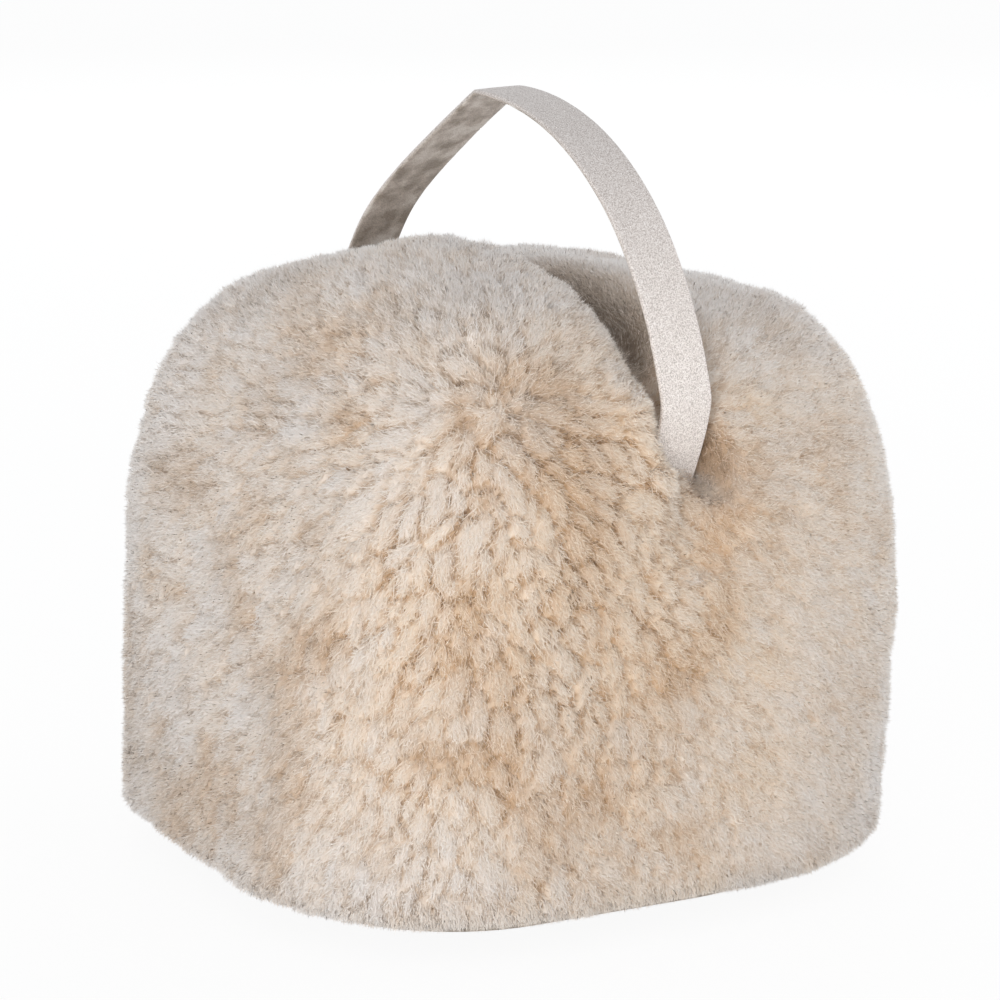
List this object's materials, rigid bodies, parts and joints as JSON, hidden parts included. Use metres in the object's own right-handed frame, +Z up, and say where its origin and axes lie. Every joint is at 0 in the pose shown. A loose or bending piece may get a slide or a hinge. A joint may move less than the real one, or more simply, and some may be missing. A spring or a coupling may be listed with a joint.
{
  "type": "weighted fabric door stop",
  "caption": "Soft, heavy cube covered in short-clipped fleece, with a leather carry strap arched over its top and a flat leather base. Holds a door open by its weight.",
  "frame": {"origin": "middle of the base panel's underside, on the floor", "axes": "+Z up; the front face looks along -Y; the carry strap runs from the front to the back, turned about 3 degrees with the body"},
  "size_m": [0.2195, 0.2182, 0.2349],
  "materials": {
    "fleece": "short-clipped sheepskin, matt, pale grey-beige tips over a tan ground",
    "strap_leather": "pale suede with a fine nap, matt, darker and blotchy on the inner face",
    "base_leather": "plain matt suede"
  },
  "bodies": {
    "root": {"fleece_body": "fleece", "handle_strap": "strap_leather", "base_panel": "base_leather"}
  },
  "joints": []
}
